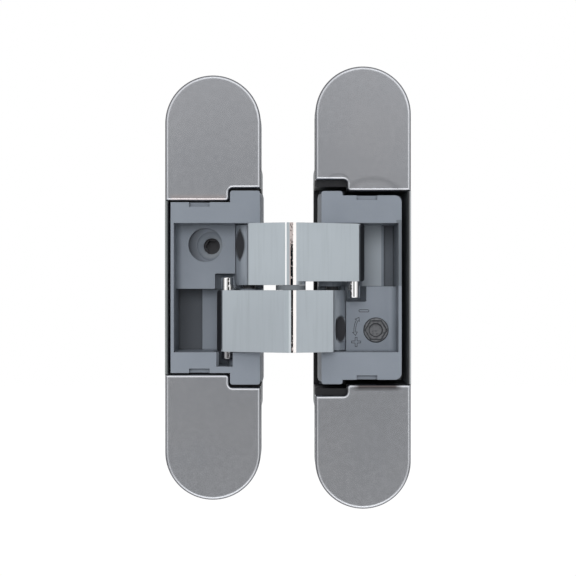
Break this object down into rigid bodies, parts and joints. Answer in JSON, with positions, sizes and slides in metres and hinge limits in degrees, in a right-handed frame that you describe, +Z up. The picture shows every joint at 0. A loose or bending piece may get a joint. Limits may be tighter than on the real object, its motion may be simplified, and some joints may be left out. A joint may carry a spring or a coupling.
{
  "type": "concealed door hinge",
  "caption": "Concealed door hinge: round-ended leaves let into door and frame, joined by crossed arms that fold into pockets, with side, height and depth adjustment.",
  "frame": {"origin": "middle of the frame leaf's seat, the back of its flange, halfway between its screws, with the hinge open flat", "axes": "+X across the leaves towards the door leaf, +Y into the frame and the door edge, +Z up along the leaves"},
  "size_m": [0.0616, 0.0347, 0.111],
  "materials": {
    "die_cast": "matte",
    "carrier_cast": "matte",
    "satin_cap": "satin",
    "satin_arm": "satin",
    "pin_steel": "gloss",
    "washer_polymer": "matte",
    "screw_steel": "satin"
  },
  "bodies": {
    "frame_leaf": {"frame_housing": "die_cast", "frame_cap_top": "satin_cap", "frame_cap_bottom": "satin_cap"},
    "frame_block": {"frame_carrier": "carrier_cast", "upper_root_pin": "pin_steel"},
    "depth_screw": {"depth_screw": "screw_steel", "depth_screw_clip": "screw_steel"},
    "upper_arm": {"upper_arm": "satin_arm", "centre_pin": "pin_steel", "centre_washer": "washer_polymer", "door_slider_pin": "pin_steel"},
    "lower_arm": {"lower_arm": "satin_arm", "frame_slider_pin": "pin_steel"},
    "door_block": {"door_carrier": "carrier_cast", "lower_root_pin": "pin_steel"},
    "side_cam": {"side_cam": "screw_steel"},
    "slide_plate": {"slide_plate": "carrier_cast", "clamp_screw_top": "screw_steel", "clamp_screw_bottom": "screw_steel", "clamp_washer_top": "screw_steel", "clamp_washer_bottom": "screw_steel"},
    "door_leaf": {"door_housing": "die_cast", "door_cap_top": "satin_cap", "door_cap_bottom": "satin_cap"}
  },
  "joints": [
    {"name": "depth_adjust", "type": "slide", "parent": "frame_leaf", "child": "frame_block", "axis": [0, 1, 0], "range_m": [-0.001, 0.001]},
    {"name": "depth_screw_turn", "type": "hinge", "parent": "frame_leaf", "child": "depth_screw", "pos_m": [-0.0009, 0.0026, 0.0107], "axis": [0, 1, 0], "range_deg": [-361, 361]},
    {"name": "door_swing", "type": "hinge", "parent": "frame_block", "child": "upper_arm", "pos_m": [0.00883, -0.0025, 0], "axis": [0, 0, 1], "range_deg": [-84.1, 0]},
    {"name": "arm_elbow", "type": "hinge", "parent": "upper_arm", "child": "lower_arm", "pos_m": [0.0195, -0.016, 0], "axis": [0, 0, 1], "range_deg": [-11.9, 0.1]},
    {"name": "door_root_turn", "type": "hinge", "parent": "lower_arm", "child": "door_block", "pos_m": [0.03017, -0.0025, 0], "axis": [0, 0, 1], "range_deg": [-84.2, 0.1]},
    {"name": "side_adjust", "type": "slide", "parent": "door_block", "child": "slide_plate", "axis": [1, 0, 0], "range_m": [-0.001, 0.001]},
    {"name": "side_cam_turn", "type": "hinge", "parent": "door_block", "child": "side_cam", "pos_m": [0.0414, -0.00338, -0.0109], "axis": [0, 1, 0], "range_deg": [-45.5, 45.5]},
    {"name": "height_adjust", "type": "slide", "parent": "slide_plate", "child": "door_leaf", "axis": [0, 0, 1], "range_m": [-0.001, 0.001]}
  ],
  "couplings": [
    {"joint": "depth_screw_turn", "follows": "depth_adjust", "rad_per_m": 6283.2},
    {"joint": "arm_elbow", "follows": "door_swing", "ratio": 0.14035},
    {"joint": "door_root_turn", "follows": "door_swing", "ratio": 1},
    {"joint": "side_cam_turn", "follows": "side_adjust", "rad_per_m": 785.4}
  ]
}
